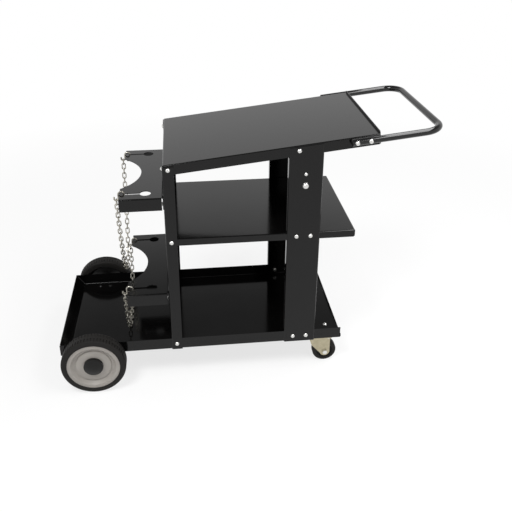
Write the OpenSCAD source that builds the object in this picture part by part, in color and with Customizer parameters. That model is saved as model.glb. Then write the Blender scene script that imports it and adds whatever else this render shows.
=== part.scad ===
// Welding trolley with a cylinder platform at the rear, three folded steel trays on four bolted posts,
// two fixed wheels on an axle under the platform and two swivel casters under the handle end.
// Millimetres. +Z is up, +X points to the handle and the origin is on the floor under the middle.

/* [Trays] */
// Width of the trays over their folded walls
tray_w = 320; // [300:5:350]
// Thickness of the folded sheet
sheet_t = 1.5; // [1.2:0.1:2]
// Outside radius of the folds in the sheet
fold_r = 3; // [2.5:0.5:4]
// Height of the bottom tray's walls
rim_h = 32; // [26:1:40]
// Length of the cylinder platform behind the posts
platform_l = 253; // [240:1:290]
// Angle by which the platform's rear wall leans outwards
wall_lean = 35; // [20:1:45]
// Length of the bottom tray in front of the posts' rear faces
bottom_front = 438; // [420:1:480]
// Height of the low lip across the bottom tray's handle end
lip_h = 8; // [6:1:14]
// Height of the middle shelf's surface
shelf_z = 409; // [390:1:430]
// Length of the middle shelf in front of the posts' rear faces
shelf_l = 454; // [440:1:500]
// Depth of the middle shelf's turned-down walls
shelf_h = 18; // [17:1:26]
// Height of the top tray's rear edge
top_z = 597; // [580:1:640]
// Length of the top tray along its slope
top_l = 496; // [480:1:530]
// Depth of the top tray's turned-down walls
top_h = 25; // [22:1:30]
// Slope of the top tray, rising towards the handle
top_tilt = 6.6; // [3:0.1:9]

/* [Posts] */
// Thickness of the posts
post_t = 2; // [1.5:0.1:3]
// Outside radius of the folds in the posts and cylinder brackets
post_r = 4; // [3.5:0.5:6]
// Width of a rear post's side face
rear_post_w = 27; // [25:1:34]
// Depth of a rear post's leg behind the shelves
rear_leg = 28; // [26:1:34]
// Distance of the front posts from the rear posts' rear faces
front_post_x = 287; // [270:1:310]
// Width of a front post
front_post_w = 80; // [70:1:90]
// Depth of a front post's folded edges
front_leg = 16; // [12:1:22]
// Distance between the two bolts of a pair on a front post
pair_gap = 34; // [28:1:44]
// Play between a post's folded edges and the shelves
notch_gap = 3; // [2.2:0.1:5]
// Height of the large dome bolt on the right front post
dome_z = 533; // [510:1:560]
// Height of the small rivet above the dome bolt
rivet_rise = 29; // [24:1:40]

/* [Cylinder brackets] */
// Width of a cylinder bracket
bracket_w = 304; // [290:1:310]
// Reach of a cylinder bracket behind the posts
bracket_reach = 102; // [90:1:120]
// Thickness of a cylinder bracket
bracket_t = 2; // [1.5:0.1:3]
// Depth of a cylinder bracket's turned-down walls
bracket_h = 31; // [28:1:40]
// Height of the upper cylinder bracket's surface
upper_z = 513; // [500:1:530]
// Height of the lower cylinder bracket's surface
lower_z = 252; // [245:1:270]
// Radius of the hollow that the gas cylinder leans into
cradle_r = 112; // [100:1:130]
// Depth of that hollow
cradle_depth = 46; // [30:1:52]
// Diameter of the round end of a keyhole
keyhole_d = 26; // [20:1:30]
// Width of a keyhole's slot
slot_w = 6.5; // [6:0.5:9]
// Distance of a keyhole's round end from the bracket's free edge
keyhole_x = 60; // [50:1:70]
// Distance of a keyhole from the middle of the bracket
keyhole_y = 120; // [116:1:126]
// Width of the strip between a slot and the bracket's free edge
slot_strip = 9; // [7:0.5:12]

/* [Chains] */
// Diameter of the chain's wire
wire_d = 2.8; // [2.4:0.1:3.2]
// Inside length of a link
link_l = 13; // [12:0.5:16]
// Inside width of a link
link_w = 6; // [5.5:0.1:7]
// Play between two links
link_gap = 0.4; // [0.3:0.05:0.5]
// Drop of the upper chain below its end links
upper_drop = 234; // [200:2:240]
// Spare length of the lower chain, as a share of its height above the platform
lower_slack = 0.64; // [0.6:0.01:0.68]
// Diameter of the hooks' wire
hook_d = 4; // [3:0.1:4.4]
// Inside radius of a hook's lower bend
hook_in_r = 3; // [2.5:0.1:4]
// Length of a hook's outer leg between its bends
hook_leg = 10; // [8:0.5:14]
// Play between a hook, its bracket and its end link
hook_gap = 0.3; // [0.2:0.05:0.4]

/* [Handle] */
// Diameter of the handle tube
tube_d = 16; // [14:0.5:20]
// Wall of the handle tube
tube_t = 1.5; // [1:0.1:2]
// Place of the handle's ends along the top tray
handle_start = 428; // [410:1:450]
// Place of the crossbar's middle along the top tray
handle_end = 640; // [620:1:680]
// Radius of the handle's corners along the middle of the tube
corner_r = 42; // [30:1:50]
// Depth of the tube's upper side below the top tray's surface
handle_drop = 0.5; // [0.5:0.5:6]
// Distance of the first handle bolt from the tube's end
handle_bolt_x = 10; // [9:1:14]
// Distance between the two bolts on one side of the handle
handle_pitch = 31; // [26:1:40]

/* [Rear wheels] */
// Diameter of the rear wheels
wheel_d = 160; // [150:1:170]
// Width of the rear tyres
wheel_w = 35; // [30:1:42]
// Diameter of the rims under the tyres
rim_d = 130; // [120:1:136]
// Radius of the tyres' shoulders
shoulder_r = 7; // [5:0.5:9]
// Number of cross lugs round a tyre
lugs = 64; // [48:1:72]
// Width of the grooves between lugs
groove_w = 2.6; // [2:0.1:4]
// Depth of the grooves between lugs
groove_d = 2; // [1.5:0.1:3]
// Distance of the axle behind the posts' rear faces
axle_back = 194; // [170:1:200]
// Gap between the bottom tray's wall and a tyre
wheel_gap = 4; // [3:0.5:8]
// Diameter of the axle
axle_d = 12; // [10:0.5:14]
// Gap between the axle and the flats of its brackets
axle_gap = 1; // [0.6:0.1:3]
// Running clearance of a wheel on its axle, on the radius
run_gap = 0.05; // [0.03:0.01:0.1]
// Thickness of the nylon bush in a wheel
bush_t = 2.5; // [2:0.1:3]
// Diameter of the wheel's hub
hub_d = 38; // [34:1:42]
// Diameter of the black hub caps
cap_d = 48; // [44:1:52]
// Thickness of the axle brackets
ear_t = 3; // [2:0.1:4]
// Width of the axle brackets
ear_w = 46; // [40:1:60]

/* [Casters] */
// Diameter of the caster wheels
caster_d = 63; // [58:1:66]
// Width of the caster wheels
caster_w = 22; // [18:1:26]
// Distance of the caster swivels from the rear posts' rear faces
caster_x = 386; // [370:1:395]
// Distance of the caster swivels from the middle of the trolley
caster_y = 126; // [110:1:127]
// Offset of a caster's axle from its swivel
caster_trail = 16; // [14:1:24]
// Side of the square caster plates
plate_w = 64; // [60:1:66]
// Distance between bolts on a caster plate
plate_pitch = 44; // [42:1:50]
// Thickness of the caster plates and forks
plate_t = 2.5; // [2:0.1:3]
// Height of the ball race between plate and fork
race_h = 8; // [7.5:0.5:10]
// Diameter of the swivel's rivet
king_d = 10; // [8:0.5:12]
// Diameter of a caster's axle bolt
caster_axle_d = 8; // [6:0.5:9]
// Gap between a caster's wheel and each leg of its fork
fork_gap = 1; // [0.6:0.1:2]

/* [Fasteners] */
// Diameter of the bolts
bolt_d = 6; // [5:0.5:6]
// Play round a bolt in its hole, on the diameter
hole_play = 0.6; // [0.4:0.1:1]
// Diameter of the bolts' domed heads
head_d = 11; // [10:0.5:12]
// Height of the bolts' domed heads
head_h = 3.8; // [3:0.1:4.5]
// Width of the nuts across their corners
nut_w = 11.5; // [10:0.1:12]
// Height of the nuts
nut_h = 5; // [4:0.1:5.5]
// Length of thread that stands out of a nut
thread_out = 2; // [1:0.5:3]

/* [Hidden] */
$fn = 48;

black_paint = "#1c1c1c";
zinc = "#c9c6bd";
chrome = "#3a3a3a";
rubber = "#2b2a28";
rim_grey = "#bdb9b4";
dark_plastic = "#35332f";

half_w = tray_w/2;
post_face = half_w + post_t;
// Angle by which the flats of a fold run into its bend, and the steps of a bend that isn't square
fold_lap = 10;
bend_steps = 8;
// Angles by which the platform's rear wall and the top tray's rear wall are folded
wall_fold = 90 - wall_lean;
top_fold = 90 - top_tilt;
// Depth by which a shank runs into its head
shank_lap = 0.2;
// Length of a bore through sheet, tube or fork, and what a cut runs past the face it leaves
bore_l = 90;
over = 1;
far_cut = 200;

// Height of the bottom tray's underside: the axle hangs close below it
axle_z = wheel_d/2;
ear_drop = axle_d/2 + axle_gap + ear_t;
floor_z = axle_z + ear_drop;

// Stations along X: the rear wall's rim and the crossbar are the two ends
lean_run = (rim_h - fold_r*(1 - cos(wall_fold)))*tan(wall_lean) + fold_r*cos(wall_lean);
tail_l = platform_l + lean_run;
handle_low = tube_d/2 + handle_drop;
nose_l = post_t + handle_end*cos(top_tilt) + handle_low*sin(top_tilt) + tube_d/2;
rear_x = (tail_l - nose_l)/2;
// Open corners between the leaning wall and the side walls, which run on past it
corner_gap = 0.5;
corner_y = half_w - fold_r - corner_gap;
deck_z = floor_z + sheet_t;
top_x = rear_x + post_t;

function top_at(x) = top_z + (x - top_x)*tan(top_tilt);
function mid_wall(x) = top_at(x) - top_h/2;

// Bolts through posts and tray walls, as places along X and Z
rear_bolt_x = rear_x + rear_post_w/2;
front_mid_x = rear_x + front_post_x + front_post_w/2;
pair_x = [front_mid_x - pair_gap/2, front_mid_x + pair_gap/2];
low_bolt_z = floor_z + rim_h/2;
shelf_bolt_z = shelf_z - shelf_h/2;
low_points = [[rear_bolt_x, low_bolt_z], [pair_x[0], low_bolt_z], [pair_x[1], low_bolt_z]];
shelf_points = [[rear_bolt_x, shelf_bolt_z], [pair_x[0], shelf_bolt_z], [pair_x[1], shelf_bolt_z]];
top_points = [[rear_bolt_x, mid_wall(rear_bolt_x)], [pair_x[0], mid_wall(pair_x[0])]];
post_points = concat(low_points, shelf_points, top_points);

// Bolts through the rear legs, as places along Y and Z
head_gap = 0.5;
leg_share = 0.6;
leg_bolt_y = bracket_w/2 - post_r - head_d/2 - head_gap;
bracket_bolt_z = [lower_z - bracket_h*leg_share, upper_z - bracket_h*leg_share];
leg_bolt_z = concat(bracket_bolt_z, [top_z - top_h*leg_share]);
dome_head_d = 16;
dome_head_h = 6;
dome_d = 8;
dome_nut_w = 15;
dome_nut_h = 6.5;
rivet_head_d = 8;
rivet_tail_d = 6.4;
rivet_head_h = 2;
rivet_d = 4;
// Where the bend of the top tray's rear wall starts, so that its outer face is flush with the legs
top_bend = fold_r*(1 - sin(top_tilt))/cos(top_tilt);

// Handle: rails beside the top tray's walls
tube_gap = 0.3;
rail_y = half_w + tube_d/2 + tube_gap;
handle_bolts_x = [handle_start + handle_bolt_x, handle_start + handle_bolt_x + handle_pitch];
plug_in = 6;
plug_h = 3.2;

// Cylinder brackets, hooks and chains
edge_x = rear_x - bracket_reach;
hook_r = (slot_strip + hook_d)/2 + hook_gap;
hook_low_r = hook_in_r + hook_d/2;
hook_leg_x = edge_x + slot_strip/2 - hook_r;
chain_x = hook_leg_x - hook_low_r;
// Heights of a hook's bends from the bracket's surface, and the length of its tip
hook_top = -0.5;
hook_low = hook_top - hook_leg;
hook_tip = 4;
link_r = (link_w + wire_d)/2;
link_span = link_l + wire_d;
pitch = link_l - link_gap;
end_link_top = hook_low - hook_low_r + (hook_d + wire_d)/2 + hook_gap;
swing_low = end_link_top - link_span;
chain_top = swing_low + (wire_d + link_gap)/2;

function asinh(v) = ln(v + sqrt(v*v + 1));
function arm(drop, a) = sqrt(drop*drop + 2*drop*a);
function reach(s, a) = a*asinh(s/a);
// Catenary constant for a free span, and for a chain whose middle lies on the platform, searched for
// between two limits in a number of halvings
a_min = 2;
a_max = 400;
halvings = 40;
function free_a(half_l, half_span, lo = a_min, hi = a_max, n = halvings) =
    n == 0 ? (lo + hi)/2 :
    reach(half_l, (lo + hi)/2) < half_span ? free_a(half_l, half_span, (lo + hi)/2, hi, n - 1) :
    free_a(half_l, half_span, lo, (lo + hi)/2, n - 1);
function drop_a(drop, half_span, lo = a_min, hi = a_max, n = halvings) =
    n == 0 ? (lo + hi)/2 :
    reach(arm(drop, (lo + hi)/2), (lo + hi)/2) < half_span ? drop_a(drop, half_span, (lo + hi)/2, hi, n - 1) :
    drop_a(drop, half_span, lo, (lo + hi)/2, n - 1);
function lying_a(drop, spare, lo = a_min, hi = a_max, n = halvings) =
    let(a = (lo + hi)/2, s = arm(drop, a))
    n == 0 ? a :
    s - reach(s, a) > spare ? lying_a(drop, spare, a, hi, n - 1) : lying_a(drop, spare, lo, a, n - 1);

upper_arm = arm(upper_drop, drop_a(upper_drop, keyhole_y));
upper_links = 2*floor(upper_arm/pitch) + 1;
upper_a = free_a(upper_links*pitch/2, keyhole_y);
lower_drop = lower_z + chain_top - deck_z - link_w/2 - wire_d - hook_gap;
lower_links = 2*floor((keyhole_y + lower_slack*lower_drop)/pitch) + 1;
lower_half = lower_links*pitch/2;
lower_a = lying_a(lower_drop, lower_half - keyhole_y);
lower_run = lower_half - arm(lower_drop, lower_a);

// Wheels, axle and casters
axle_x = rear_x - axle_back;
tyre_in = half_w + wheel_gap;
tyre_out = tyre_in + wheel_w;
bush_r = axle_d/2 + run_gap + bush_t;
fit_gap = 0.02;
// Wall of a tyre over its rim, and the radius of its shoulders, which the wall limits
tyre_wall = (wheel_d - rim_d)/2 - fit_gap;
tyre_shoulder = min(shoulder_r, tyre_wall/2);
// Length of a tyre's grooves as a share of its width
groove_share = 0.38;
// Section of the rim: an outer ring, a dish that slopes in to a groove, and a flat disc with the hub
rim_inset = 1.5;
rim_wall = 4;
ring_w = 9;
ring_z = wheel_w - rim_inset;
hub_in = 1;
hub_out = 7;
disc_t = 7;
disc_z = wheel_w - hub_out;
dish_low = 2.5;
dish_z = disc_z - dish_low;
dish_slope = 7;
dish_r = rim_d/2 - ring_w - dish_slope;
groove_in = 4;
step_in = 2;
push_t = 1.5;
push_d = 1.8*axle_d;
push_gap = 0.4;
washer_t = wheel_gap + hub_in - 2*push_gap;
washer_d = 2*axle_d;
axle_tip = 2;
axle_end = tyre_out - hub_out + push_gap + push_t + axle_tip;
cap_depth = 6;
cap_wall = 2;
// Axle brackets: their place inside the tray's walls and their bolts
ear_in = 4;
ear_face = half_w - sheet_t - ear_in;
ear_seat = 22;
ear_bolt_in = 10;
ear_bolt_edge = 9;
ear_flat = ear_t + ear_seat;
ear_bolt_y = ear_face - ear_t - ear_bolt_in;
ear_bolt_dx = ear_w/2 - ear_bolt_edge;

swivel_x = rear_x + caster_x;
caster_z = caster_d/2;
fork_top = floor_z - plate_t - race_h;
fork_in = caster_w/2 + fork_gap;
fork_out = fork_in + plate_t;
king_gap = 0.1;
king_head_d = 1.7*king_d;
king_head_h = 3;
race_gap = 0.3;
race_d = plate_pitch - nut_w - 2;
race_edge = 2;
plate_r = 8;
// Pressed fork: upright front edges, rear edges that slope down to the axle, and a crown over both legs
leg_r = 13;
leg_front = caster_trail + leg_r;
leg_back = 28;
knee_in = 8;
knee_drop = 25;
leg_toe = 0.65*leg_r;
crown_lap = 0.5;
crown_r = norm([max(leg_front, leg_back), fork_out]) + crown_lap;
caster_nut_w = 1.6*caster_axle_d;
// Wheel: a dished core and a rounded tread
tread_t = 8;
tread_r = 0.45*tread_t;
tread_in = 1;
core_d = caster_d - 2*tread_t;
core_neck = 5;
core_in = 2;

// Placing on the two sides of the trolley: +1 is the left side, -1 the right
module on_side(s) mirror([0, s > 0 ? 0 : 1, 0]) children();
module along_y(s) rotate([s > 0 ? -90 : 90, 0, 0]) children();
module on_top_tray() translate([top_x, 0, top_z]) rotate([0, -top_tilt, 0]) children();

// Section through a folded edge: a flat of length run, folded up at right angles to height h
module folded_edge(run, h, r, t) {
    mid_r = r - t/2;
    lap = [mid_r*sin(fold_lap), r - mid_r*cos(fold_lap)];
    polygon([[0, 0], [run, 0], [run, t], [0, t], [-lap[0], lap[1]]]);
    translate([0, r]) intersection() {
        difference() {
            circle(r);
            circle(r - t);
        }
        translate([-r - over, -r - over]) square(r + over);
    }
    polygon([[-r, r], [lap[1] - r, r - lap[0]], [t - r, r], [t - r, h], [-r, h]]);
}

// Section through an edge folded up by another angle a, its bend drawn in short steps
function bend(r, a) = [for (i = [0:bend_steps]) r*[-sin(a*i/bend_steps), -cos(a*i/bend_steps)]];
function turned(list) = [for (i = [len(list) - 1:-1:0]) list[i]];
module leaning_edge(run, h, a, r, t) {
    leg = (h - r*(1 - cos(a)))/sin(a);
    tip = leg*[-cos(a), sin(a)];
    outer = bend(r, a);
    inner = bend(r - t, a);
    translate([0, r]) polygon(concat([[run, -r]], outer, [outer[bend_steps] + tip, inner[bend_steps] + tip],
                                     turned(inner), [[run, t - r]]));
}

// Flat sheet with its two long edges folded up, from x = 0 to x = l
module folded_channel(l, w, h, r, t)
    rotate([90, 0, 90]) linear_extrude(l)
        for (m = [0, 1]) mirror([m, 0]) translate([r - w/2, 0]) folded_edge(w/2 - r + t, h, r, t);

// Upright or leaning wall folded up across the end of a sheet at x = 0
module folded_end(w, h, r, t)
    rotate([90, 0, 0]) linear_extrude(w, center = true) folded_edge(2*r, h, r, t);
module leaning_end(w, h, a, r, t)
    rotate([90, 0, 0]) linear_extrude(w, center = true) leaning_edge(2*r, h, a, r, t);

module bore(d) cylinder(d = d, h = bore_l, center = true);

module post_holes(points, s)
    for (p = points) translate([p[0], s*post_face, p[1]]) along_y(s) bore(bolt_d + hole_play);

// Domed bolt with its head above z = 0 and its shank below
module dome_head(d, h) {
    ball_r = (d*d/4 + h*h)/(2*h);
    rotate_extrude() intersection() {
        translate([0, h - ball_r]) circle(ball_r);
        square([d/2, h]);
    }
}
module bolt(grip) {
    dome_head(head_d, head_h);
    translate([0, 0, -grip - nut_h - thread_out])
        cylinder(d = bolt_d, h = grip + nut_h + thread_out + shank_lap);
}
module nut(w, h, d) difference() {
    cylinder(d = w, h = h, $fn = 6);
    bore(d);
}

module bottom_tray() color(black_paint) difference() {
    union() {
        difference() {
            translate([rear_x - tail_l, 0, floor_z])
                folded_channel(tail_l + bottom_front - fold_r, tray_w, rim_h, fold_r, sheet_t);
            translate([rear_x - tail_l - over, -corner_y, floor_z - over])
                cube([lean_run + 2*over, 2*corner_y, sheet_t + 2*over]);
        }
        translate([rear_x - platform_l, 0, floor_z])
            leaning_end(2*(corner_y - corner_gap), rim_h, wall_fold, fold_r, sheet_t);
        translate([rear_x + bottom_front - fold_r, 0, floor_z]) mirror([1, 0, 0])
            folded_end(tray_w - 2*fold_r, lip_h, fold_r, sheet_t);
    }
    for (s = [-1, 1]) {
        post_holes(low_points, s);
        for (p = caster_points(s)) translate([p[0], p[1], floor_z]) bore(bolt_d + hole_play);
        for (p = ear_points(s)) translate([p[0], p[1], floor_z]) bore(bolt_d + hole_play);
    }
}

module middle_shelf() color(black_paint) difference() {
    translate([rear_x + post_t, 0, shelf_z]) mirror([0, 0, 1]) {
        translate([fold_r, 0, 0])
            folded_channel(shelf_l - post_t - 2*fold_r, tray_w, shelf_h, fold_r, sheet_t);
        translate([fold_r, 0, 0]) folded_end(tray_w - 2*fold_r, shelf_h, fold_r, sheet_t);
        translate([shelf_l - post_t - fold_r, 0, 0]) mirror([1, 0, 0])
            folded_end(tray_w - 2*fold_r, shelf_h, fold_r, sheet_t);
    }
    for (s = [-1, 1]) post_holes(shelf_points, s);
}

// The rear wall of the top tray is folded to stand upright against the rear legs
module top_tray() color(black_paint) difference() {
    on_top_tray() mirror([0, 0, 1]) {
        translate([top_bend, 0, 0])
            folded_channel(top_l - top_bend - fold_r, tray_w, top_h, fold_r, sheet_t);
        translate([top_bend, 0, 0]) leaning_end(tray_w - 2*fold_r, top_h, top_fold, fold_r, sheet_t);
        translate([top_l - fold_r, 0, 0]) mirror([1, 0, 0])
            folded_end(tray_w - 2*fold_r, top_h, fold_r, sheet_t);
    }
    for (s = [-1, 1]) {
        post_holes(top_points, s);
        translate([top_x, s*leg_bolt_y, leg_bolt_z[2]]) rotate([0, 90, 0]) bore(bolt_d + hole_play);
        on_top_tray() for (x = handle_bolts_x) translate([x, s*half_w, -handle_low]) along_y(s)
            bore(bolt_d + hole_play);
    }
}

// Angle with one leg beside the shelves and one behind them, cut away above the bottom tray's wall
module rear_post(s) color(black_paint) on_side(s) difference() {
    translate([rear_x + post_r, post_face, floor_z]) mirror([0, 1, 0])
        linear_extrude(top_z - fold_r - floor_z)
            folded_edge(rear_post_w - post_r, rear_leg, post_r, post_t);
    translate([rear_x - over, half_w - far_cut, floor_z - over])
        cube([far_cut, far_cut, rim_h + notch_gap + over]);
    for (p = post_points) translate([p[0], post_face, p[1]]) along_y(1) bore(bolt_d + hole_play);
    for (z = leg_bolt_z) translate([rear_x, leg_bolt_y, z]) rotate([0, 90, 0])
        bore(bolt_d + hole_play);
}
module rear_post_left() rear_post(1);
module rear_post_right() rear_post(-1);

// Wide channel whose folded edges are cut away where the trays pass
module front_post(s) color(black_paint) difference() {
    on_side(s) difference() {
        translate([rear_x + front_post_x, post_face, floor_z]) linear_extrude(top_z) mirror([0, 1])
            for (m = [0, 1]) translate([m*front_post_w, 0]) mirror([m, 0]) translate([post_r, 0])
                folded_edge(front_post_w/2, front_leg, post_r, post_t);
        translate([rear_x, half_w - far_cut, floor_z - over])
            cube([2*far_cut, far_cut, rim_h + notch_gap + over]);
        translate([rear_x, half_w - far_cut, shelf_z - shelf_h - notch_gap])
            cube([2*far_cut + front_post_w, far_cut, shelf_h + 2*notch_gap]);
        on_top_tray() translate([0, half_w - far_cut, -top_h - notch_gap])
            cube([top_l, far_cut, top_h + far_cut]);
        on_top_tray() translate([0, -far_cut, -fold_r]) cube([top_l, 2*far_cut, 2*far_cut]);
        for (p = post_points) translate([p[0], post_face, p[1]]) along_y(1) bore(bolt_d + hole_play);
    }
    if (s < 0) {
        translate([front_mid_x, -post_face, dome_z]) along_y(s) bore(dome_d + hole_play);
        translate([front_mid_x, -post_face, dome_z + rivet_rise]) along_y(s) bore(rivet_d);
    }
}
module front_post_left() front_post(1);
module front_post_right() front_post(-1);

module cylinder_bracket(z) color(black_paint) difference() {
    translate([rear_x, 0, z]) mirror([1, 0, 0]) mirror([0, 0, 1]) {
        translate([post_r, 0, 0])
            folded_channel(bracket_reach - post_r, bracket_w, bracket_h, post_r, bracket_t);
        translate([post_r, 0, 0]) folded_end(bracket_w - 2*post_r, bracket_h, post_r, bracket_t);
    }
    translate([edge_x + cradle_depth - cradle_r, 0, z]) bore(2*cradle_r);
    for (s = [-1, 1]) {
        translate([edge_x + keyhole_x, s*keyhole_y, z]) bore(keyhole_d);
        translate([edge_x + slot_strip + slot_w/2, s*keyhole_y, z]) {
            bore(slot_w);
            translate([0, -slot_w/2, -bore_l/2]) cube([keyhole_x - slot_strip - slot_w/2, slot_w, bore_l]);
        }
        translate([rear_x, s*leg_bolt_y, z - bracket_h*leg_share]) rotate([0, 90, 0])
            bore(bolt_d + hole_play);
    }
}
module upper_cylinder_bracket() cylinder_bracket(upper_z);
module lower_cylinder_bracket() cylinder_bracket(lower_z);

module post_bolts() color(zinc) for (s = [-1, 1], p = post_points)
    translate([p[0], s*post_face, p[1]]) along_y(s) bolt(post_t + sheet_t);
module post_nuts() color(zinc) for (s = [-1, 1], p = post_points)
    translate([p[0], s*(half_w - sheet_t - nut_h), p[1]]) along_y(s) nut(nut_w, nut_h, bolt_d + 2*run_gap);

// Heads behind the legs: two on each cylinder bracket and two on the top tray's rear wall
module bracket_bolts() color(zinc) for (s = [-1, 1]) {
    for (z = bracket_bolt_z) translate([rear_x - bracket_t, s*leg_bolt_y, z]) rotate([0, -90, 0])
        bolt(bracket_t + post_t);
    translate([rear_x, s*leg_bolt_y, leg_bolt_z[2]]) rotate([0, -90, 0]) bolt(post_t + sheet_t);
}
module bracket_nuts() color(zinc) for (s = [-1, 1]) {
    for (z = bracket_bolt_z) translate([rear_x + post_t, s*leg_bolt_y, z]) rotate([0, 90, 0])
        nut(nut_w, nut_h, bolt_d + 2*run_gap);
    translate([top_x + sheet_t, s*leg_bolt_y, leg_bolt_z[2]]) rotate([0, 90, 0])
        nut(nut_w, nut_h, bolt_d + 2*run_gap);
}

module dome_bolt() color(zinc) translate([front_mid_x, -post_face, dome_z]) along_y(-1) {
    dome_head(dome_head_d, dome_head_h);
    translate([0, 0, -post_t - dome_nut_h - thread_out])
        cylinder(d = dome_d, h = post_t + dome_nut_h + thread_out + shank_lap);
}
module dome_bolt_nut() color(zinc) translate([front_mid_x, -half_w + dome_nut_h, dome_z]) along_y(-1)
    nut(dome_nut_w, dome_nut_h, dome_d + 2*run_gap);
module post_rivet() color(zinc) translate([front_mid_x, -post_face, dome_z + rivet_rise]) along_y(-1) {
    dome_head(rivet_head_d, rivet_head_h);
    translate([0, 0, -post_t]) mirror([0, 0, 1]) dome_head(rivet_tail_d, rivet_head_h);
    translate([0, 0, -post_t - shank_lap]) cylinder(d = rivet_d - 2*fit_gap, h = post_t + 2*shank_lap);
}

// One bent tube: two rails beside the top tray, two round corners and a crossbar
module handle_path(d, past) {
    for (s = [-1, 1]) {
        translate([handle_start - past, s*rail_y, 0]) rotate([0, 90, 0])
            cylinder(d = d, h = handle_end - corner_r - handle_start + past);
        translate([handle_end - corner_r, s*(rail_y - corner_r), 0]) rotate(s > 0 ? 0 : -90)
            rotate_extrude(angle = 90) translate([corner_r, 0]) circle(d = d);
    }
    translate([handle_end, 0, 0]) rotate([90, 0, 0])
        cylinder(d = d, h = 2*(rail_y - corner_r), center = true);
}
module handle_tube() color(chrome) on_top_tray() translate([0, 0, -handle_low]) difference() {
    handle_path(tube_d, 0);
    handle_path(tube_d - 2*tube_t, over);
    for (s = [-1, 1], x = handle_bolts_x) translate([x, s*rail_y, 0]) along_y(s)
        bore(bolt_d + hole_play);
}
module handle_end_plugs() color(rubber) on_top_tray() for (s = [-1, 1])
    translate([handle_start, s*rail_y, -handle_low]) rotate([0, -90, 0]) {
        dome_head(tube_d, plug_h);
        translate([0, 0, -plug_in]) cylinder(d = tube_d - 2*tube_t - 2*fit_gap, h = plug_in + shank_lap);
    }
// The domed heads seat on the tube itself
module handle_bolts() color(zinc) on_top_tray() for (s = [-1, 1], x = handle_bolts_x)
    translate([x, s*(rail_y + tube_d/2), -handle_low]) along_y(s) bolt(tube_d + tube_gap + sheet_t);
module handle_nuts() color(zinc) on_top_tray() for (s = [-1, 1], x = handle_bolts_x)
    translate([x, s*(half_w - sheet_t - nut_h), -handle_low]) along_y(s)
        nut(nut_w, nut_h, bolt_d + 2*run_gap);

// Chain link in the XY plane, long along X
module half_ring(r, d) rotate_extrude(angle = 180) translate([r, 0]) circle(d = d);
module link() {
    straight = link_span - 2*link_r;
    for (s = [-1, 1]) {
        translate([s*straight/2, 0, 0]) rotate(s > 0 ? -90 : 90) half_ring(link_r, wire_d);
        translate([0, s*link_r, 0]) rotate([0, 90, 0]) cylinder(d = wire_d, h = straight, center = true);
    }
}

// Place on the chain at arc length s from its middle, with a straight stretch of half length run
function chain_y(s, a, run) = abs(s) <= run ? s : sign(s)*(run + reach(abs(s) - run, a));
function chain_z(s, a, run) = abs(s) <= run ? 0 : sqrt(a*a + pow(abs(s) - run, 2)) - a;
function chain_slope(s, a, run) = abs(s) <= run ? 0 : sign(s)*atan((abs(s) - run)/a);
module chain(z, n, a, run) color(zinc) for (i = [0:n - 1]) {
    s = (i - (n - 1)/2)*pitch;
    drop = chain_z(n*pitch/2, a, run);
    translate([chain_x, chain_y(s, a, run), z + chain_top - drop + chain_z(s, a, run)])
        rotate([chain_slope(s, a, run), 0, 0]) rotate([0, i % 2 == 0 ? 0 : 90, 0]) rotate(90) link();
}
module upper_chain() chain(upper_z, upper_links, upper_a, 0);
module lower_chain() chain(lower_z, lower_links, lower_a, lower_run);

// Hook through a keyhole's slot and over the bracket's edge, with the chain's end link in its lower bend
module chain_hooks(z) color(zinc) for (s = [-1, 1]) translate([0, s*keyhole_y, z]) {
    translate([edge_x + slot_strip/2, 0, hook_top]) rotate([90, 0, 0]) half_ring(hook_r, hook_d);
    translate([edge_x + slot_strip/2 + hook_r, 0, hook_low]) cylinder(d = hook_d, h = hook_leg);
    translate([hook_leg_x, 0, hook_low]) cylinder(d = hook_d, h = hook_leg);
    translate([chain_x, 0, hook_low]) rotate([-90, 0, 0]) half_ring(hook_low_r, hook_d);
    translate([chain_x - hook_low_r, 0, hook_low]) cylinder(d = hook_d, h = hook_tip);
    translate([chain_x, 0, (end_link_top + swing_low)/2]) rotate([0, 90, 0]) link();
}
module upper_chain_hooks() chain_hooks(upper_z);
module lower_chain_hooks() chain_hooks(lower_z);

// Angle bolted under the platform that carries one end of the axle
function ear_points(s) = [for (m = [-1, 1]) [axle_x + m*ear_bolt_dx, s*ear_bolt_y]];
module axle_bracket(s) color(black_paint) on_side(s) difference() {
    union() {
        translate([axle_x - ear_w/2, ear_face - ear_flat, floor_z - ear_t]) cube([ear_w, ear_flat, ear_t]);
        translate([axle_x, ear_face, axle_z]) rotate([90, 0, 0]) linear_extrude(ear_t) {
            intersection() {
                circle(axle_d);
                translate([-axle_d, -axle_d]) square([2*axle_d, axle_d + axle_gap]);
            }
            polygon([[-axle_d, 0], [axle_d, 0], [ear_w/2, ear_drop], [-ear_w/2, ear_drop]]);
        }
    }
    translate([axle_x, ear_face, axle_z]) rotate([90, 0, 0]) bore(axle_d + 2*fit_gap);
    for (p = ear_points(1)) translate([p[0], p[1], floor_z]) bore(bolt_d + hole_play);
}
module axle_bracket_left() axle_bracket(1);
module axle_bracket_right() axle_bracket(-1);
module axle_bracket_bolts() color(zinc) for (s = [-1, 1], p = ear_points(s))
    translate([p[0], p[1], deck_z]) bolt(sheet_t + ear_t);
module axle_bracket_nuts() color(zinc) for (s = [-1, 1], p = ear_points(s))
    translate([p[0], p[1], floor_z - ear_t - nut_h]) nut(nut_w, nut_h, bolt_d + 2*run_gap);

module axle() color(zinc) translate([axle_x, 0, axle_z]) rotate([90, 0, 0])
    cylinder(d = axle_d, h = 2*axle_end, center = true);
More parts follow.
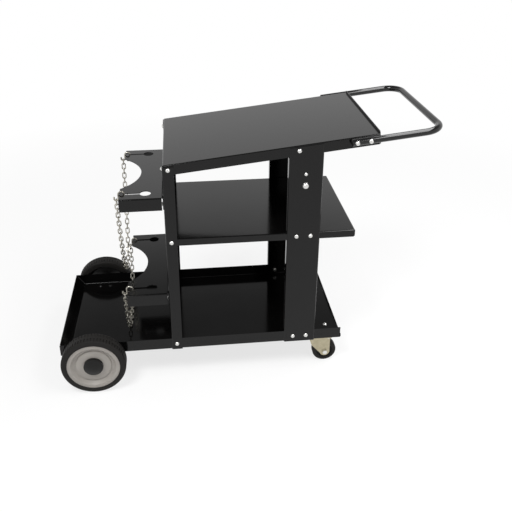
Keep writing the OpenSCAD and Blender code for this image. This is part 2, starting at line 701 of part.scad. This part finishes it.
// Spacers between the axle brackets' ends and the hubs
module axle_washers() color(zinc) for (s = [-1, 1])
    translate([axle_x, s*(half_w + push_gap), axle_z]) along_y(s) difference() {
        cylinder(d = washer_d, h = washer_t);
        bore(axle_d + 2*fit_gap);
    }
module axle_push_nuts() color(zinc) for (s = [-1, 1])
    translate([axle_x, s*(tyre_out - hub_out + push_gap), axle_z]) along_y(s) difference() {
        cylinder(d = push_d, h = push_t);
        bore(axle_d + 2*fit_gap);
    }

// Wheels are turned round their axle, with z = 0 at the inner side of the tyre
module on_axle(s) translate([axle_x, s*tyre_in, axle_z]) along_y(s) children();
module tyre(s) color(rubber) on_axle(s) difference() {
    rotate_extrude($fn = 96) translate([rim_d/2 + fit_gap, 0]) {
        square([tyre_wall - tyre_shoulder, wheel_w]);
        translate([0, tyre_shoulder]) square([tyre_wall, wheel_w - 2*tyre_shoulder]);
        for (z = [tyre_shoulder, wheel_w - tyre_shoulder])
            translate([tyre_wall - tyre_shoulder, z]) circle(tyre_shoulder);
    }
    for (i = [0:lugs - 1]) rotate(i*360/lugs) for (z = [-over, wheel_w*(1 - groove_share)])
        translate([wheel_d/2 - groove_d, -groove_w/2, z])
            cube([2*groove_d, groove_w, wheel_w*groove_share + over]);
}
module tyre_left() tyre(1);
module tyre_right() tyre(-1);

module rim(s) color(rim_grey) on_axle(s) rotate_extrude($fn = 96)
    polygon([[bush_r + fit_gap, hub_in], [hub_d/2, hub_in], [hub_d/2, disc_z - disc_t],
             [dish_r, disc_z - disc_t], [rim_d/2 - ring_w, ring_z - rim_wall],
             [rim_d/2 - rim_wall, ring_z - rim_wall], [rim_d/2 - rim_wall, rim_inset],
             [rim_d/2, rim_inset], [rim_d/2, ring_z], [rim_d/2 - ring_w, ring_z],
             [dish_r, dish_z], [dish_r - groove_in, dish_z], [dish_r - groove_in - step_in, disc_z],
             [bush_r + fit_gap, disc_z]]);
module rim_left() rim(1);
module rim_right() rim(-1);

module wheel_bush(s) color("#e6e3da") on_axle(s) translate([0, 0, hub_in]) difference() {
    cylinder(r = bush_r, h = disc_z - hub_in);
    bore(axle_d + 2*run_gap);
}
module wheel_bush_left() wheel_bush(1);
module wheel_bush_right() wheel_bush(-1);

// Domed cap pressed over the hub, hollow so that it clears the axle's end
module hub_cap(s) color(rubber) on_axle(s) translate([0, 0, disc_z]) rotate_extrude($fn = 64)
    difference() {
        cap_section(cap_d/2, hub_out + cap_depth);
        cap_section(cap_d/2 - cap_wall, hub_out + cap_depth - cap_wall);
    }
module cap_section(r, h) intersection() {
    translate([0, h - 2*r]) circle(2*r);
    square([r, h]);
}
module hub_cap_left() hub_cap(1);
module hub_cap_right() hub_cap(-1);

// Casters hang from their plates under the bottom tray
function caster_points(s) = [for (i = [-1, 1], j = [-1, 1])
    [swivel_x + i*plate_pitch/2, s*caster_y + j*plate_pitch/2]];
module on_caster(s) translate([swivel_x, s*caster_y, 0]) children();
module caster_plate(s) color(zinc) difference() {
    on_caster(s) translate([0, 0, floor_z - plate_t]) linear_extrude(plate_t)
        rounded_square(plate_w, plate_r);
    on_caster(s) translate([0, 0, floor_z]) bore(king_d + 2*fit_gap);
    for (p = caster_points(s)) translate([p[0], p[1], floor_z]) bore(bolt_d + hole_play);
}
module rounded_square(w, r) {
    square([w, w - 2*r], center = true);
    square([w - 2*r, w], center = true);
    for (i = [-1, 1], j = [-1, 1]) translate([i*(w/2 - r), j*(w/2 - r)]) circle(r);
}
module caster_plate_left() caster_plate(1);
module caster_plate_right() caster_plate(-1);
module caster_bolts() color(zinc) for (s = [-1, 1], p = caster_points(s))
    translate([p[0], p[1], deck_z]) bolt(sheet_t + plate_t);
module caster_nuts() color(zinc) for (s = [-1, 1], p = caster_points(s))
    translate([p[0], p[1], floor_z - plate_t - nut_h]) nut(nut_w, nut_h, bolt_d + 2*run_gap);

// Pressed cup that holds the swivel's balls
module caster_race(s) color(zinc) on_caster(s) translate([0, 0, fork_top + race_gap]) rotate_extrude()
    polygon([[king_d/2 + fit_gap, 0], [race_d/2 - race_edge, 0], [race_d/2, race_edge],
             [race_d/2 - race_edge, race_h - race_gap],
             [king_d/2 + fit_gap, race_h - race_gap]]);
module caster_race_left() caster_race(1);
module caster_race_right() caster_race(-1);
module caster_kingpin(s) color(zinc) on_caster(s) {
    translate([0, 0, fork_top - plate_t - race_gap])
        cylinder(d = king_d, h = plate_t + race_gap + race_h + plate_t);
    translate([0, 0, fork_top - plate_t - race_gap - king_head_h]) cylinder(d = king_head_d, h = king_head_h);
}
module caster_kingpin_left() caster_kingpin(1);
module caster_kingpin_right() caster_kingpin(-1);

// Pressed fork: a round crown with two tapered legs down to the axle
module fork_leg() {
    translate([caster_trail, caster_z]) circle(leg_r);
    polygon([[-leg_back, fork_top], [knee_in - leg_back, fork_top - knee_drop],
             [caster_trail - leg_toe, caster_z - leg_toe], [caster_trail, caster_z],
             [leg_front, caster_z], [leg_front, fork_top]]);
}
module caster_fork(s) color(zinc) on_caster(s) difference() {
    union() {
        translate([0, 0, fork_top - plate_t]) linear_extrude(plate_t) intersection() {
            circle(crown_r);
            square([2*crown_r, 2*fork_out], center = true);
        }
        for (m = [-1, 1]) translate([0, m > 0 ? fork_out : -fork_in, 0]) rotate([90, 0, 0])
            linear_extrude(plate_t) fork_leg();
    }
    translate([0, 0, fork_top]) bore(king_d + 2*king_gap);
    translate([caster_trail, 0, caster_z]) rotate([90, 0, 0]) bore(caster_axle_d + 2*fit_gap);
}
module caster_fork_left() caster_fork(1);
module caster_fork_right() caster_fork(-1);

module caster_axle(s) color(zinc) on_caster(s) translate([caster_trail, 0, caster_z]) rotate([90, 0, 0]) {
    cylinder(d = caster_axle_d, h = 2*fork_out, center = true);
    translate([0, 0, fork_out]) cylinder(d = caster_nut_w, h = nut_h, $fn = 6);
    translate([0, 0, -fork_out - nut_h]) cylinder(d = caster_nut_w, h = nut_h, $fn = 6);
}
module caster_axle_left() caster_axle(1);
module caster_axle_right() caster_axle(-1);

module caster_core(s) color(dark_plastic) on_caster(s) translate([caster_trail, 0, caster_z]) rotate([90, 0, 0])
    rotate_extrude($fn = 64)
        polygon([[caster_axle_d/2 + run_gap, -caster_w/2], [caster_axle_d, -caster_w/2],
                 [caster_axle_d + core_neck, -caster_w/4], [core_d/2 - core_neck, -caster_w/4],
                 [core_d/2 - core_neck/2, -caster_w/2 + core_in], [core_d/2, -caster_w/2 + core_in],
                 [core_d/2, caster_w/2 - core_in], [core_d/2 - core_neck/2, caster_w/2 - core_in],
                 [core_d/2 - core_neck, caster_w/4], [caster_axle_d + core_neck, caster_w/4],
                 [caster_axle_d, caster_w/2], [caster_axle_d/2 + run_gap, caster_w/2]]);
module caster_core_left() caster_core(1);
module caster_core_right() caster_core(-1);
module caster_tread(s) color(rubber) on_caster(s)
    translate([caster_trail, 0, caster_z]) rotate([90, 0, 0]) rotate_extrude($fn = 64) {
        translate([core_d/2 + fit_gap, tread_in - caster_w/2])
            square([tread_t - tread_r - fit_gap, caster_w - 2*tread_in]);
        translate([core_d/2 + fit_gap, tread_in + tread_r - caster_w/2])
            square([tread_t - fit_gap, caster_w - 2*tread_in - 2*tread_r]);
        for (m = [-1, 1])
            translate([caster_d/2 - tread_r, m*(caster_w/2 - tread_in - tread_r)]) circle(tread_r);
    }
module caster_tread_left() caster_tread(1);
module caster_tread_right() caster_tread(-1);

bottom_tray();
middle_shelf();
top_tray();
rear_post_left();
rear_post_right();
front_post_left();
front_post_right();
upper_cylinder_bracket();
lower_cylinder_bracket();
post_bolts();
post_nuts();
bracket_bolts();
bracket_nuts();
dome_bolt();
dome_bolt_nut();
post_rivet();
handle_tube();
handle_end_plugs();
handle_bolts();
handle_nuts();
upper_chain_hooks();
lower_chain_hooks();
upper_chain();
lower_chain();
axle_bracket_left();
axle_bracket_right();
axle_bracket_bolts();
axle_bracket_nuts();
axle();
axle_washers();
axle_push_nuts();
tyre_left();
tyre_right();
rim_left();
rim_right();
wheel_bush_left();
wheel_bush_right();
hub_cap_left();
hub_cap_right();
caster_plate_left();
caster_plate_right();
caster_bolts();
caster_nuts();
caster_race_left();
caster_race_right();
caster_kingpin_left();
caster_kingpin_right();
caster_fork_left();
caster_fork_right();
caster_axle_left();
caster_axle_right();
caster_core_left();
caster_core_right();
caster_tread_left();
caster_tread_right();
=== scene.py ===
# Welding trolley with a cylinder platform: the finish of every piece, in the order of its assembly.
from math import cos, radians, sin

import bpy
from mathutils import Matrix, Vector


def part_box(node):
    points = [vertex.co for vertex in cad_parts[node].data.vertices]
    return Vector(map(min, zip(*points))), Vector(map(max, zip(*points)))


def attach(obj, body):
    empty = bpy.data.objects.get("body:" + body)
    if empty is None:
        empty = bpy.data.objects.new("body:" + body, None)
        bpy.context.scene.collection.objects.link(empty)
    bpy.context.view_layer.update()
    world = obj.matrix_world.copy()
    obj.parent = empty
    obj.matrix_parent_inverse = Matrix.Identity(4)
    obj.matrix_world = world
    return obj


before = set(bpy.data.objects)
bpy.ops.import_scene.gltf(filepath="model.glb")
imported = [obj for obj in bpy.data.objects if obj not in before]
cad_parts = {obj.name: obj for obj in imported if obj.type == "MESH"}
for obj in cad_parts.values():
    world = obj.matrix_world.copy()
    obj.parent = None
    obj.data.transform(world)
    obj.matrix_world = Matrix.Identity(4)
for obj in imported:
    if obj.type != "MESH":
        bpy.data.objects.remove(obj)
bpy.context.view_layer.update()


# Folded trays: three trays of 1.5 mm mild steel, punched and folded on a press brake. The bottom one has its
# walls turned up, the other two have them turned down. All three are sprayed with black enamel and stoved,
# and only the rear axle's brackets are bolted on before that.
MM = 0.001


def linear(hex_colour):
    """An sRGB hex colour as linear red, green, blue and alpha."""
    levels = [int(hex_colour[i:i + 2], 16) / 255 for i in (1, 3, 5)]
    return [v / 12.92 if v <= 0.04045 else ((v + 0.055) / 1.055) ** 2.4 for v in levels] + [1]


def add(owner, kind, inputs, **settings):
    """A new node of a material or the world, whose inputs are numbers, colours or other nodes' outputs."""
    node = owner.node_tree.nodes.new(kind)
    for name, value in settings.items():
        setattr(node, name, value)
    for name, value in inputs.items():
        if isinstance(value, bpy.types.NodeSocket):
            owner.node_tree.links.new(value, node.inputs[name])
        else:
            node.inputs[name].default_value = value
    return node


def new_material(name):
    """A material with no nodes yet."""
    material = bpy.data.materials.new(name)
    material.use_nodes = True
    material.node_tree.nodes.clear()
    return material


def coat(material, *names):
    """Gives pieces of the frame a finish."""
    for name in names:
        for material_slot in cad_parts[name].material_slots:
            material_slot.material = material


# Stoved black enamel: a deep black with a clear gloss that mirrors the room at low angles. The film dries
# with a faint orange peel of 2 to 3 mm, drawn at 9 mm so that it shows. Handling leaves it a little hazy in
# patches of a hand's width.
PEEL_WIDTH = 9 * MM
PEEL_DEPTH = 0.06 * MM
HAZE_WIDTH = 80 * MM

enamel = new_material("stoved black enamel")
place = add(enamel, "ShaderNodeTexCoord", {})
peel = add(enamel, "ShaderNodeTexNoise",
           {"Vector": place.outputs["Object"], "Scale": 1 / PEEL_WIDTH, "Detail": 2})
relief = add(enamel, "ShaderNodeBump",
             {"Height": peel.outputs["Fac"], "Distance": PEEL_DEPTH, "Strength": 0.5})
haze = add(enamel, "ShaderNodeTexNoise",
           {"Vector": place.outputs["Object"], "Scale": 1 / HAZE_WIDTH, "Detail": 3})
gloss = add(enamel, "ShaderNodeMapRange", {"Value": haze.outputs["Fac"], "To Min": 0.07, "To Max": 0.15})
black = add(enamel, "ShaderNodeMix",
            {"Factor": haze.outputs["Fac"], "A": linear("#060606"), "B": linear("#0b0a0a")},
            data_type="RGBA")
shader = add(enamel, "ShaderNodeBsdfPrincipled", {
    "Base Color": black.outputs["Result"], "Roughness": gloss.outputs["Result"],
    "Normal": relief.outputs["Normal"], "IOR": 1.5, "Specular IOR Level": 0.28})
add(enamel, "ShaderNodeOutputMaterial", {"Surface": shader.outputs["BSDF"]})
coat(enamel, "bottom_tray", "middle_shelf", "top_tray")


# Top tray's lip: at the handle end the sheet stands a few millimetres above the tray, square to it, so that
# what lies there can't slide off. It is as thick as the tray, with its upper corners cut round, and has the
# tray's enamel.
# The tray's slope, the depth of its end wall and the outer radius of its bends
TRAY_SLOPE = radians(6.6)
TRAY_WALL = 25 * MM
TRAY_BEND = 3 * MM
LIP_HEIGHT = 6 * MM
LIP_THICKNESS = 1.5 * MM
LIP_CORNER = 4 * MM
CORNER_STEPS = 6
BROKEN_EDGE = 0.4 * MM

# The tray's box ends at the foot of its leaning end wall and on top of its round bend. The lip stands where
# the faces of the tray and the wall would meet, and reaches down to the end of the bend.
tray_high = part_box("top_tray")[1]
tray_end = (tray_high.x - TRAY_WALL * sin(TRAY_SLOPE), 0,
            tray_high.z + TRAY_BEND * (cos(TRAY_SLOPE) + sin(TRAY_SLOPE) - 1))
lip_half = tray_high.y - TRAY_BEND

outline = [(-lip_half, -TRAY_BEND), (lip_half, -TRAY_BEND)]
for side, first in ((1, 0), (-1, 90)):
    for step in range(CORNER_STEPS + 1):
        angle = radians(first + 90 * step / CORNER_STEPS)
        outline.append((side * (lip_half - LIP_CORNER) + LIP_CORNER * cos(angle),
                        LIP_HEIGHT - LIP_CORNER + LIP_CORNER * sin(angle)))
count = len(outline)
faces = [tuple(reversed(range(count))), tuple(range(count, 2 * count))]
faces += [(i, (i + 1) % count, count + (i + 1) % count, count + i) for i in range(count)]
mesh = bpy.data.meshes.new("top_tray_lip")
mesh.from_pydata([(x, y, z) for x in (-LIP_THICKNESS, 0) for y, z in outline], [], faces)
lip = bpy.data.objects.new("top_tray_lip", mesh)
lip.location = tray_end
lip.rotation_euler = (0, -TRAY_SLOPE, 0)
bpy.context.scene.collection.objects.link(lip)
edge = lip.modifiers.new("broken edges", "BEVEL")
edge.width = BROKEN_EDGE
edge.segments = 2
mesh.materials.append(enamel)
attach(lip, "frame")


# Posts and cylinder brackets: two angles at the rear, two wide channels at the front and two shelves with a
# round hollow for the gas cylinder, folded from 2 mm steel. They have the trays' enamel and stand outside the
# trays' walls, bolted through them.
coat(enamel, "rear_post_left", "rear_post_right", "front_post_left", "front_post_right",
     "upper_cylinder_bracket", "lower_cylinder_bracket")


# Fasteners: domed 6 mm bolts with their heads outside and hexagon nuts inside, one larger dome bolt and a
# rivet. They are cold-headed steel, barrel plated with zinc.

# Zinc plate: a bright, almost neutral metal. Tumbling in the barrel leaves it satin, with scuffs of about
# 1 mm.
SCUFF_WIDTH = 1 * MM

bright_zinc = new_material("barrel plated zinc")
place = add(bright_zinc, "ShaderNodeTexCoord", {})
scuffs = add(bright_zinc, "ShaderNodeTexNoise",
             {"Vector": place.outputs["Object"], "Scale": 1 / SCUFF_WIDTH, "Detail": 3})
satin = add(bright_zinc, "ShaderNodeMapRange",
            {"Value": scuffs.outputs["Fac"], "To Min": 0.18, "To Max": 0.34})
plate = add(bright_zinc, "ShaderNodeMix",
            {"Factor": scuffs.outputs["Fac"], "A": linear("#c9c9c7"), "B": linear("#e6e5e1")},
            data_type="RGBA")
shader = add(bright_zinc, "ShaderNodeBsdfPrincipled", {
    "Base Color": plate.outputs["Result"], "Metallic": 1, "Roughness": satin.outputs["Result"]})
add(bright_zinc, "ShaderNodeOutputMaterial", {"Surface": shader.outputs["BSDF"]})
coat(bright_zinc, "post_bolts", "post_nuts", "bracket_bolts", "bracket_nuts",
     "dome_bolt", "dome_bolt_nut", "post_rivet")


# Chains: welded links of 2.8 mm wire, with a bent hook and an end link at each keyhole of the cylinder
# brackets. The wire is zinc plated after welding.

# Plated wire: bright, with duller grey patches of about 4 mm, as links have where they rub.
RUB_WIDTH = 4 * MM

chain_zinc = new_material("zinc plated wire")
place = add(chain_zinc, "ShaderNodeTexCoord", {})
rubbed = add(chain_zinc, "ShaderNodeTexNoise",
             {"Vector": place.outputs["Object"], "Scale": 1 / RUB_WIDTH, "Detail": 2})
wear = add(chain_zinc, "ShaderNodeMapRange",
           {"Value": rubbed.outputs["Fac"], "From Min": 0.35, "From Max": 0.65})
dulled = add(chain_zinc, "ShaderNodeMapRange",
             {"Value": rubbed.outputs["Fac"], "To Min": 0.4, "To Max": 0.15})
wire = add(chain_zinc, "ShaderNodeMix",
           {"Factor": wear.outputs["Result"], "A": linear("#86837b"), "B": linear("#cfcbc0")},
           data_type="RGBA")
shader = add(chain_zinc, "ShaderNodeBsdfPrincipled", {
    "Base Color": wire.outputs["Result"], "Metallic": 1, "Roughness": dulled.outputs["Result"]})
add(chain_zinc, "ShaderNodeOutputMaterial", {"Surface": shader.outputs["BSDF"]})
coat(chain_zinc, "upper_chain_hooks", "lower_chain_hooks", "upper_chain", "lower_chain")


# Rear axle: a plain 12 mm steel bar in two brackets under the platform, with a spacer inside each wheel and a
# spring push nut outside it. The brackets are bolted on before spraying, so their bolts are black too.
coat(enamel, "axle_bracket_left", "axle_bracket_right", "axle_bracket_bolts", "axle_bracket_nuts")
coat(bright_zinc, "axle", "axle_washers", "axle_push_nuts")


# Rear wheels: a solid rubber tyre with cross lugs on a moulded plastic rim, with a nylon bush in the hub and
# a black cap pressed over the axle's end.

# Moulded rubber: a soft brown-black with almost no gloss. Bloom from the rubber greys it in patches of about
# 2 cm, and the mould's blasted face gives it a fine grain, drawn at 1.5 mm so that it shows.
BLOOM_WIDTH = 20 * MM
RUBBER_GRAIN_WIDTH = 1.5 * MM
RUBBER_GRAIN_DEPTH = 0.2 * MM

rubber = new_material("moulded black rubber")
place = add(rubber, "ShaderNodeTexCoord", {})
bloom = add(rubber, "ShaderNodeTexNoise",
            {"Vector": place.outputs["Object"], "Scale": 1 / BLOOM_WIDTH, "Detail": 4})
tone = add(rubber, "ShaderNodeMix",
           {"Factor": bloom.outputs["Fac"], "A": linear("#100f0e"), "B": linear("#1f1d1b")},
           data_type="RGBA")
grain = add(rubber, "ShaderNodeTexNoise",
            {"Vector": place.outputs["Object"], "Scale": 1 / RUBBER_GRAIN_WIDTH, "Detail": 2})
relief = add(rubber, "ShaderNodeBump",
             {"Height": grain.outputs["Fac"], "Distance": RUBBER_GRAIN_DEPTH, "Strength": 0.6})
matt = add(rubber, "ShaderNodeMapRange", {"Value": bloom.outputs["Fac"], "To Min": 0.6, "To Max": 0.8})
shader = add(rubber, "ShaderNodeBsdfPrincipled", {
    "Base Color": tone.outputs["Result"], "Roughness": matt.outputs["Result"],
    "Normal": relief.outputs["Normal"], "IOR": 1.5, "Specular IOR Level": 0.25})
add(rubber, "ShaderNodeOutputMaterial", {"Surface": shader.outputs["BSDF"]})
coat(rubber, "tyre_left", "tyre_right")

# Polypropylene: a light grey moulding with a waxy half gloss. Its back and the side walls of its dish are
# black, painted shade for where the trolley and the dish's lip shade them. The grey has faint clouds a few
# centimetres wide, and the mould's face a fine grain, drawn at 1.5 mm so that it shows.
CLOUD_WIDTH = 30 * MM
RIM_GRAIN_WIDTH = 1.5 * MM
RIM_GRAIN_DEPTH = 0.08 * MM
# A point's distance from the trolley's middle, times how squarely its face looks away from there: faces that
# have more than this are grey, and the others are black as painted shade.
PAINTED_SHADE_LIMIT = 50 * MM

polypropylene = new_material("grey polypropylene with painted shade black behind")
place = add(polypropylene, "ShaderNodeTexCoord", {})
flow = add(polypropylene, "ShaderNodeTexNoise",
           {"Vector": place.outputs["Object"], "Scale": 1 / CLOUD_WIDTH, "Detail": 3})
grey = add(polypropylene, "ShaderNodeMix",
           {"Factor": flow.outputs["Fac"], "A": linear("#908b85"), "B": linear("#a5a09a")},
           data_type="RGBA")
facing = add(polypropylene, "ShaderNodeVectorMath",
             {0: place.outputs["Object"], 1: place.outputs["Normal"]}, operation="MULTIPLY")
outward = add(polypropylene, "ShaderNodeSeparateXYZ", {"Vector": facing.outputs["Vector"]})
grey_not_painted_shade = add(polypropylene, "ShaderNodeMath", {0: outward.outputs["Y"], 1: PAINTED_SHADE_LIMIT},
              operation="GREATER_THAN")
# The black is painted shade, on the rim's back and on the side walls of its dish.
tone = add(polypropylene, "ShaderNodeMix",
           {"Factor": grey_not_painted_shade.outputs[0], "A": linear("#151413"), "B": grey.outputs["Result"]},
           data_type="RGBA")
grain = add(polypropylene, "ShaderNodeTexNoise",
            {"Vector": place.outputs["Object"], "Scale": 1 / RIM_GRAIN_WIDTH})
relief = add(polypropylene, "ShaderNodeBump",
             {"Height": grain.outputs["Fac"], "Distance": RIM_GRAIN_DEPTH, "Strength": 0.5})
sheen = add(polypropylene, "ShaderNodeMapRange",
            {"Value": flow.outputs["Fac"], "To Min": 0.38, "To Max": 0.5})
shader = add(polypropylene, "ShaderNodeBsdfPrincipled", {
    "Base Color": tone.outputs["Result"], "Roughness": sheen.outputs["Result"],
    "Normal": relief.outputs["Normal"], "IOR": 1.49})
add(polypropylene, "ShaderNodeOutputMaterial", {"Surface": shader.outputs["BSDF"]})
coat(polypropylene, "rim_left", "rim_right")

# Cast nylon: an off-white, slightly waxy plastic, turned to size, so fine rings of about 0.3 mm run round it.
RING_WIDTH = 0.314 * MM
# Width of one band of the wave texture at a scale of 1
WAVE_BAND = 0.314

nylon = new_material("turned white nylon")
place = add(nylon, "ShaderNodeTexCoord", {})
rings = add(nylon, "ShaderNodeTexWave",
            {"Vector": place.outputs["Object"], "Scale": WAVE_BAND / RING_WIDTH, "Distortion": 2},
            bands_direction="Y")
tone = add(nylon, "ShaderNodeMix",
           {"Factor": rings.outputs["Fac"], "A": linear("#dedbd0"), "B": linear("#ebe8df")},
           data_type="RGBA")
shader = add(nylon, "ShaderNodeBsdfPrincipled",
             {"Base Color": tone.outputs["Result"], "Roughness": 0.4, "IOR": 1.53})
add(nylon, "ShaderNodeOutputMaterial", {"Surface": shader.outputs["BSDF"]})
coat(nylon, "wheel_bush_left", "wheel_bush_right")

# Black ABS: a moulded plastic, blacker and glossier than the tyre. The mould was spark eroded, so it has a
# fine grain, drawn at 1.2 mm so that it shows.
ABS_GRAIN_WIDTH = 1.2 * MM
ABS_GRAIN_DEPTH = 0.1 * MM

abs_plastic = new_material("moulded black ABS")
place = add(abs_plastic, "ShaderNodeTexCoord", {})
grain = add(abs_plastic, "ShaderNodeTexNoise",
            {"Vector": place.outputs["Object"], "Scale": 1 / ABS_GRAIN_WIDTH, "Detail": 2})
relief = add(abs_plastic, "ShaderNodeBump",
             {"Height": grain.outputs["Fac"], "Distance": ABS_GRAIN_DEPTH, "Strength": 0.5})
tone = add(abs_plastic, "ShaderNodeMix",
           {"Factor": grain.outputs["Fac"], "A": linear("#0a0a09"), "B": linear("#131211")},
           data_type="RGBA")
shader = add(abs_plastic, "ShaderNodeBsdfPrincipled", {
    "Base Color": tone.outputs["Result"], "Roughness": 0.4, "Normal": relief.outputs["Normal"], "IOR": 1.45,
    "Specular IOR Level": 0.3})
add(abs_plastic, "ShaderNodeOutputMaterial", {"Surface": shader.outputs["BSDF"]})
coat(abs_plastic, "hub_cap_left", "hub_cap_right")


# Casters: a square top plate, a ball race and a pressed fork on a riveted king pin, with a black plastic
# wheel that has a rubber tread and turns on an axle bolt. Each hangs on four bolts through the bottom tray.

# Yellow zinc: plated and passivated pressings, a pale straw-coloured metal with clouds of about 6 mm.
STRAW_CLOUD_WIDTH = 6 * MM

straw_zinc = new_material("yellow passivated zinc")
place = add(straw_zinc, "ShaderNodeTexCoord", {})
clouds = add(straw_zinc, "ShaderNodeTexNoise",
             {"Vector": place.outputs["Object"], "Scale": 1 / STRAW_CLOUD_WIDTH, "Detail": 3})
tone = add(straw_zinc, "ShaderNodeMix",
           {"Factor": clouds.outputs["Fac"], "A": linear("#9a9279"), "B": linear("#bcb49c")},
           data_type="RGBA")
satin = add(straw_zinc, "ShaderNodeMapRange",
            {"Value": clouds.outputs["Fac"], "To Min": 0.28, "To Max": 0.42})
shader = add(straw_zinc, "ShaderNodeBsdfPrincipled", {
    "Base Color": tone.outputs["Result"], "Metallic": 1, "Roughness": satin.outputs["Result"]})
add(straw_zinc, "ShaderNodeOutputMaterial", {"Surface": shader.outputs["BSDF"]})
coat(straw_zinc, "caster_plate_left", "caster_plate_right", "caster_race_left", "caster_race_right",
     "caster_kingpin_left", "caster_kingpin_right", "caster_fork_left", "caster_fork_right")
coat(bright_zinc, "caster_bolts", "caster_nuts", "caster_axle_left", "caster_axle_right")
coat(abs_plastic, "caster_core_left", "caster_core_right")
coat(rubber, "caster_tread_left", "caster_tread_right")


# Handle: one 16 mm steel tube bent to a U, flat against the top tray's walls and held by two bolts on each
# side. Its open ends have moulded plugs.

# Black enamel on tube: the tube is polished before it is painted, so its gloss is sharper than the trays'.
# Hands leave faint marks of about 2 cm.
MARK_WIDTH = 20 * MM

tube_gloss = new_material("gloss black on polished tube")
place = add(tube_gloss, "ShaderNodeTexCoord", {})
marks = add(tube_gloss, "ShaderNodeTexNoise",
            {"Vector": place.outputs["Object"], "Scale": 1 / MARK_WIDTH, "Detail": 3})
gloss = add(tube_gloss, "ShaderNodeMapRange", {"Value": marks.outputs["Fac"], "To Min": 0.04, "To Max": 0.1})
black = add(tube_gloss, "ShaderNodeMix",
            {"Factor": marks.outputs["Fac"], "A": linear("#0a0a0a"), "B": linear("#131313")},
            data_type="RGBA")
shader = add(tube_gloss, "ShaderNodeBsdfPrincipled", {
    "Base Color": black.outputs["Result"], "Roughness": gloss.outputs["Result"], "IOR": 1.45})
add(tube_gloss, "ShaderNodeOutputMaterial", {"Surface": shader.outputs["BSDF"]})
coat(tube_gloss, "handle_tube")
coat(abs_plastic, "handle_end_plugs")
coat(bright_zinc, "handle_bolts", "handle_nuts")


# Studio: a white floor and walls under a dim ceiling, with soft light from a long box above the handle end
# and a stronger square one high at the front left. For the eye and in gloss the room is white, and the floor
# keeps a faint shadow.
# Strength of the room's light on the trolley, and of the ceiling as gloss shows it, where 1 is white
ROOM_LIGHT = 0.26
CEILING = 0.28
# Sines of the angles above the horizon at which the wall begins to darken and the ceiling is reached
WALL_TOP = 0.42
CEILING_EDGE = 0.6
FLOOR_SIDE = 30
# The lit floor's share in what the eye sees, and the distances in metres between which it fades out
SHADOW_SHARE = 0.25
SHADOW_NEAR = 0.6
SHADOW_FAR = 2


def in_view(owner):
    """1 on rays that the eye sends out, straight or by gloss or glass, and 0 on the others."""
    ray = add(owner, "ShaderNodeLightPath", {})
    seen = add(owner, "ShaderNodeMath", {0: ray.outputs["Is Camera Ray"], 1: ray.outputs["Is Glossy Ray"]},
               operation="MAXIMUM")
    seen = add(owner, "ShaderNodeMath", {0: seen.outputs[0], 1: ray.outputs["Is Transmission Ray"]},
               operation="MAXIMUM")
    return seen.outputs[0]


world = bpy.data.worlds.new("white room")
bpy.context.scene.world = world
world.use_nodes = True
world.node_tree.nodes.clear()
way = add(world, "ShaderNodeTexCoord", {})
rise = add(world, "ShaderNodeSeparateXYZ", {"Vector": way.outputs["Generated"]})
wall = add(world, "ShaderNodeMapRange",
           {"Value": rise.outputs["Z"], "From Min": WALL_TOP, "From Max": CEILING_EDGE,
            "To Min": 1, "To Max": CEILING}, interpolation_type="SMOOTHSTEP")
strength = add(world, "ShaderNodeMapRange",
               {"Value": in_view(world), "To Min": ROOM_LIGHT, "To Max": wall.outputs["Result"]})
white = add(world, "ShaderNodeBackground",
            {"Color": linear("#ffffff"), "Strength": strength.outputs["Result"]})
add(world, "ShaderNodeOutputWorld", {"Surface": white.outputs["Background"]})

bpy.ops.mesh.primitive_plane_add(size=FLOOR_SIDE)
floor = bpy.context.object
floor.name = "studio_floor"
white_floor = new_material("white studio floor")
place = add(white_floor, "ShaderNodeTexCoord", {})
distance = add(white_floor, "ShaderNodeVectorMath", {0: place.outputs["Object"]}, operation="LENGTH")
away = add(white_floor, "ShaderNodeMapRange",
           {"Value": distance.outputs["Value"], "From Min": SHADOW_NEAR, "From Max": SHADOW_FAR,
            "To Min": 1 - SHADOW_SHARE, "To Max": 1})
plain_white = add(white_floor, "ShaderNodeMath", {0: in_view(white_floor), 1: away.outputs["Result"]},
                  operation="MULTIPLY")
matt_white = add(white_floor, "ShaderNodeBsdfDiffuse", {"Color": linear("#ffffff")})
glow = add(white_floor, "ShaderNodeEmission", {"Color": linear("#ffffff"), "Strength": 1})
both = add(white_floor, "ShaderNodeMixShader",
           {"Fac": plain_white.outputs[0], 1: matt_white.outputs["BSDF"], 2: glow.outputs["Emission"]})
add(white_floor, "ShaderNodeOutputMaterial", {"Surface": both.outputs["Shader"]})
floor.data.materials.append(white_floor)

# Each box of light: name, place, turn about X, Y and Z in degrees, width and length in metres, power in watts
for name, spot, turn, width, length, power in (
        ("softbox_above", (0.72, -0.35, 1.65), (0, 0, 0), 0.48, 1.9, 26),
        ("softbox_front_left", (-1, -1.25, 2.6), (35, 0, -39), 0.8, 0.8, 46)):
    light = bpy.data.lights.new(name, "AREA")
    light.shape = "RECTANGLE"
    light.size = width
    light.size_y = length
    light.energy = power
    softbox = bpy.data.objects.new(name, light)
    softbox.location = spot
    softbox.rotation_euler = [radians(degrees) for degrees in turn]
    softbox.visible_camera = False
    bpy.context.scene.collection.objects.link(softbox)


# Camera: about 1.2 m high and 1.3 m in front of the trolley's right side, looking down and a little towards
# the handle. The lens is shifted to frame the trolley as in the photograph.
STAND = (-0.1366, -1.4798, 1.1662)
# Degrees towards the handle and below the horizon
TURN = 5.98
DOWN = 24.78
# Millimetres, and the shift in widths of the picture
SENSOR = 36
FOCAL = 45.25
SHIFT = (0.0215, -0.148)

lens = bpy.data.cameras.new("camera")
lens.sensor_width = SENSOR
lens.lens = FOCAL
lens.shift_x, lens.shift_y = SHIFT
camera = bpy.data.objects.new("camera", lens)
camera.location = STAND
camera.rotation_euler = (radians(90 - DOWN), 0, radians(-TURN))
bpy.context.scene.collection.objects.link(camera)
bpy.context.scene.camera = camera
bpy.context.scene.view_settings.view_transform = "Standard"
